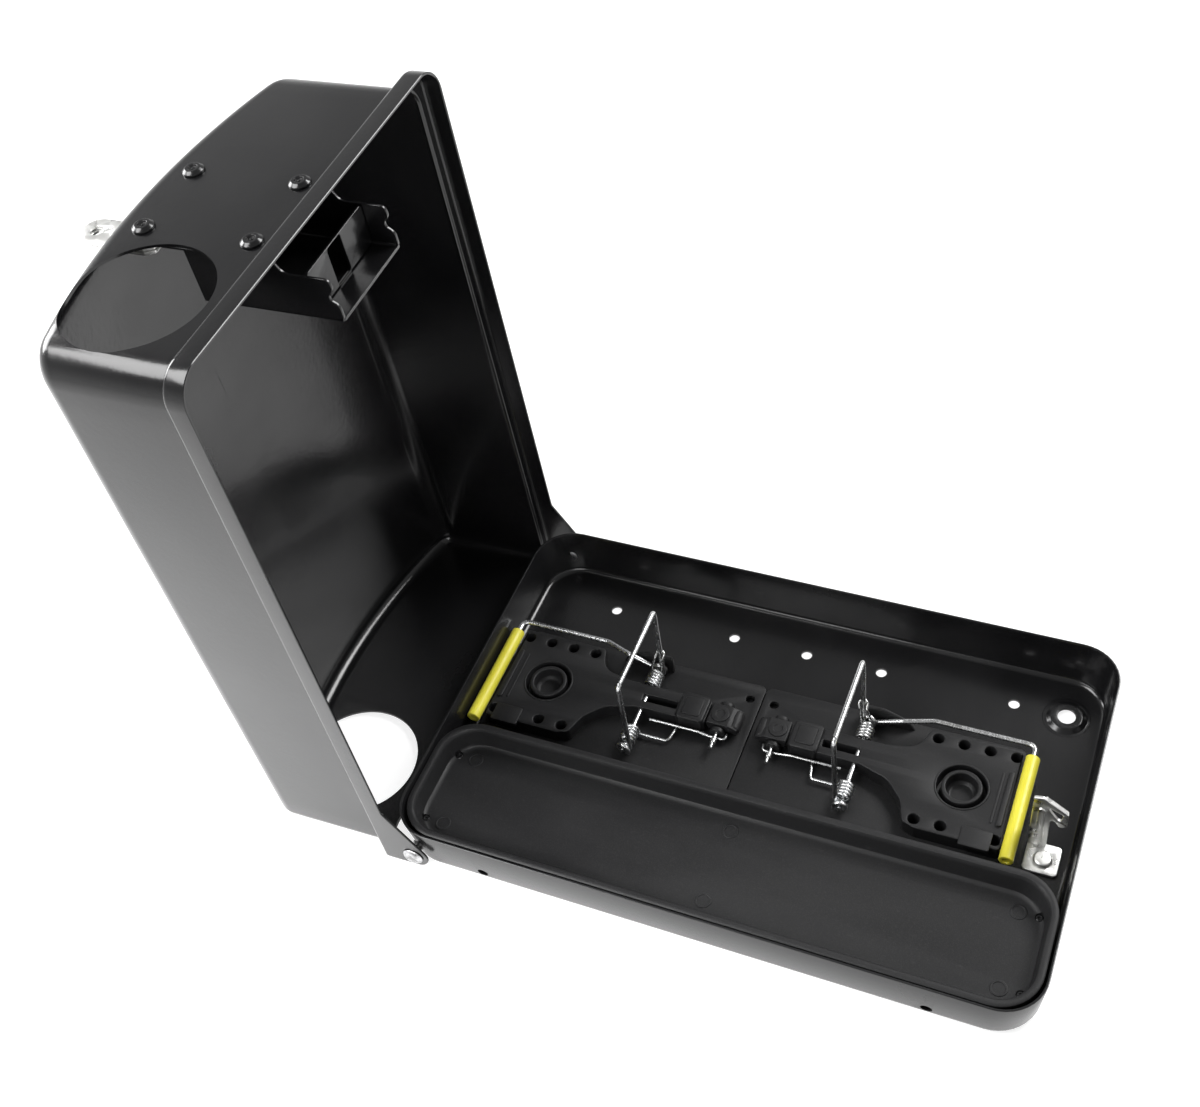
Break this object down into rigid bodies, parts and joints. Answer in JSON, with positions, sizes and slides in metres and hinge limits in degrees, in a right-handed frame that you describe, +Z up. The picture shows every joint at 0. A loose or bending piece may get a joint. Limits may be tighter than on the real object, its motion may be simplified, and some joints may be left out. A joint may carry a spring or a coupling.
{
  "type": "bait station",
  "caption": "Steel rodent bait station: shallow pan with a hinged crowned lid, bait tray, snap traps, round entry holes, spring latch and key.",
  "frame": {"origin": "middle of the pan's underside, on the ground", "axes": "+X from the hinge end to the lock end, +Y from the bait tray to the traps' side, +Z up"},
  "size_m": [0.4087, 0.2032, 0.3058],
  "materials": {
    "black_steel": "gloss black powder coat",
    "black_plastic": "matte black moulded plastic",
    "bright_wire": "bright drawn steel wire",
    "zinc_steel": "pale zinc plate",
    "yellow_grip": "satin yellow sleeve"
  },
  "bodies": {
    "base": {"bait_tray": "black_plastic", "base_pan": "black_steel", "hinge_rivet_far": "black_steel", "hinge_rivet_near": "black_steel", "latch_rivet": "zinc_steel", "latch_spring": "zinc_steel", "left_bait_cup": "black_plastic", "left_pedal_pin": "bright_wire", "left_spring_far": "bright_wire", "left_spring_near": "bright_wire", "left_trap_axle": "bright_wire", "left_trap_casting": "black_plastic", "right_bait_cup": "black_plastic", "right_pedal_pin": "bright_wire", "right_spring_far": "bright_wire", "right_spring_near": "bright_wire", "right_trap_axle": "bright_wire", "right_trap_casting": "black_plastic", "tray_screw_1": "black_steel", "tray_screw_2": "black_steel", "tray_screw_3": "black_steel", "tray_screw_4": "black_steel"},
    "lid": {"lid_shell": "black_steel", "lock_housing": "black_steel", "lock_plate": "black_steel", "wall_rivet_1": "black_steel", "wall_rivet_2": "black_steel", "wall_rivet_3": "black_steel", "wall_rivet_4": "black_steel"},
    "key": {"lock_key": "zinc_steel"},
    "left_striker_body": {"left_striker": "bright_wire", "left_grip": "yellow_grip"},
    "left_pedal_body": {"left_pedal": "black_plastic", "left_trip_rod": "bright_wire"},
    "right_striker_body": {"right_striker": "bright_wire", "right_grip": "yellow_grip"},
    "right_pedal_body": {"right_pedal": "black_plastic", "right_trip_rod": "bright_wire"}
  },
  "joints": [
    {"name": "lid_hinge", "type": "hinge", "parent": "base", "child": "lid", "pos_m": [-0.1374, 0, 0.0113], "axis": [0, 1, 0], "range_deg": [0, 91.94]},
    {"name": "key_slide", "type": "slide", "parent": "lid", "child": "key", "axis": [-0.9994, 0, -0.034], "range_m": [0, 0.022]},
    {"name": "left_striker_hinge", "type": "hinge", "parent": "base", "child": "left_striker_body", "pos_m": [-0.0656, 0.012, 0.0096], "axis": [0, 1, 0], "range_deg": [0, 81]},
    {"name": "left_pedal_tip", "type": "hinge", "parent": "base", "child": "left_pedal_body", "pos_m": [-0.0256, 0.0175, 0.009], "axis": [0, 1, 0], "range_deg": [0, 8]},
    {"name": "right_striker_hinge", "type": "hinge", "parent": "base", "child": "right_striker_body", "pos_m": [0.0424, 0.012, 0.0096], "axis": [0, -1, 0], "range_deg": [0, 81]},
    {"name": "right_pedal_tip", "type": "hinge", "parent": "base", "child": "right_pedal_body", "pos_m": [0.0024, 0.0175, 0.009], "axis": [0, -1, 0], "range_deg": [0, 8]}
  ]
}
